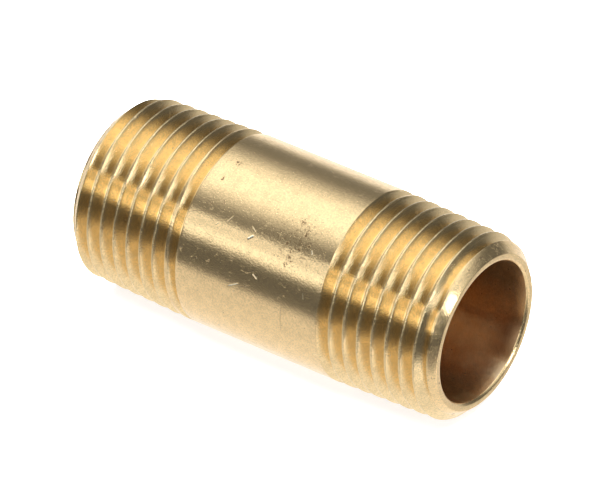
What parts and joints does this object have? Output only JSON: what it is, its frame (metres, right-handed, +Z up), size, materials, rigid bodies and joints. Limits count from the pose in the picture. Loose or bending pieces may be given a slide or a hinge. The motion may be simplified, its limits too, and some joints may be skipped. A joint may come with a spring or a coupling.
{
  "type": "pipe nipple",
  "caption": "Short brass pipe nipple: a plain round barrel with a tapered external pipe thread at each end, bored right through.",
  "frame": {"origin": "on the nipple's axis, half way between its end faces", "axes": "+X along the axis towards end face A, +Z up with the nipple lying on its side"},
  "size_m": [0.0382, 0.017, 0.017],
  "materials": {
    "brass": "bright turned brass with a satin barrel, fine scratches and slight tarnish, darker in the bore"
  },
  "bodies": {
    "root": {"nipple_body": "brass"}
  },
  "joints": []
}
